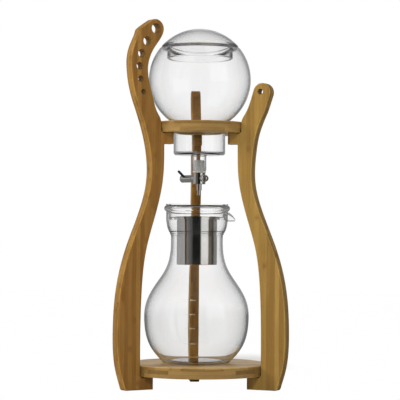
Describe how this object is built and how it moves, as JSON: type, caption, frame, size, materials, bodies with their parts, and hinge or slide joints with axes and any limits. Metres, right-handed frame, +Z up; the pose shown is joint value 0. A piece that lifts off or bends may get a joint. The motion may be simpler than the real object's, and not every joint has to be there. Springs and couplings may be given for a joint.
{
  "type": "cold drip coffee tower",
  "caption": "Cold drip coffee maker: three bent bamboo legs carry a lidded glass water globe with a dripping tap over a glass carafe with a steel filter in its mouth.",
  "frame": {"origin": "on the ground plane, on the tower's vertical axis, midway between the three legs", "axes": "+Z up along the axis of the globe and carafe; -Y to the front, between the two front legs; the carafe's beak points along +X"},
  "size_m": [0.2064, 0.2003, 0.436],
  "materials": {
    "tall_leg": "satin oiled bamboo",
    "right_leg": "satin oiled bamboo",
    "rear_leg": "satin oiled bamboo",
    "base_shelf": "satin oiled bamboo",
    "upper_shelf": "satin oiled bamboo",
    "base_screws": "zinc plated",
    "shelf_screws": "zinc plated",
    "water_globe": "clear borosilicate",
    "globe_lid": "clear borosilicate",
    "carafe": "clear borosilicate",
    "outlet_bush": "translucent silicone",
    "tap_body": "polished steel",
    "tap_outlet": "polished steel",
    "drip_tip": "polished steel",
    "tap_key": "polished steel",
    "tap_handle": "polished steel",
    "tap_lever": "bright steel",
    "lever_grip": "matt black",
    "tap_nut": "polished steel",
    "tap_washer": "white PTFE",
    "tap_seals": "black rubber",
    "filter_holder": "frosted silicone",
    "filter_collar": "polished steel",
    "filter_cup": "polished steel",
    "filter_mesh": "etched steel",
    "shower_plate": "brushed steel"
  },
  "bodies": {
    "stand": {"tall_leg": "tall_leg", "right_leg": "right_leg", "rear_leg": "rear_leg", "base_shelf": "base_shelf", "upper_shelf": "upper_shelf", "base_screws": "base_screws", "shelf_screws": "shelf_screws"},
    "globe": {"water_globe": "water_globe", "outlet_bush": "outlet_bush", "tap_body": "tap_body", "tap_outlet": "tap_outlet", "drip_tip": "drip_tip"},
    "tap": {"tap_key": "tap_key", "tap_seals": "tap_seals", "tap_handle": "tap_handle", "tap_lever": "tap_lever", "lever_grip": "lever_grip", "tap_nut": "tap_nut", "tap_washer": "tap_washer"},
    "lid": {"globe_lid": "globe_lid"},
    "carafe": {"carafe": "carafe"},
    "filter": {"filter_holder": "filter_holder", "filter_collar": "filter_collar", "filter_cup": "filter_cup", "filter_mesh": "filter_mesh", "shower_plate": "shower_plate"}
  },
  "joints": [
    {"name": "globe_lift", "type": "slide", "parent": "stand", "child": "globe", "axis": [0, 0, 1], "range_m": [0, 0.025]},
    {"name": "tap_turn", "type": "hinge", "parent": "globe", "child": "tap", "pos_m": [0, 0, 0.2494], "axis": [0.6691, -0.7431, 0], "range_deg": [-55, 35]},
    {"name": "lid_lift", "type": "slide", "parent": "globe", "child": "lid", "axis": [0, 0, 1], "range_m": [0, 0.06]},
    {"name": "carafe_slide", "type": "slide", "parent": "stand", "child": "carafe", "axis": [0, -1, 0], "range_m": [0, 0.15]},
    {"name": "filter_lift", "type": "slide", "parent": "carafe", "child": "filter", "axis": [0, 0, 1], "range_m": [0, 0.02]}
  ]
}
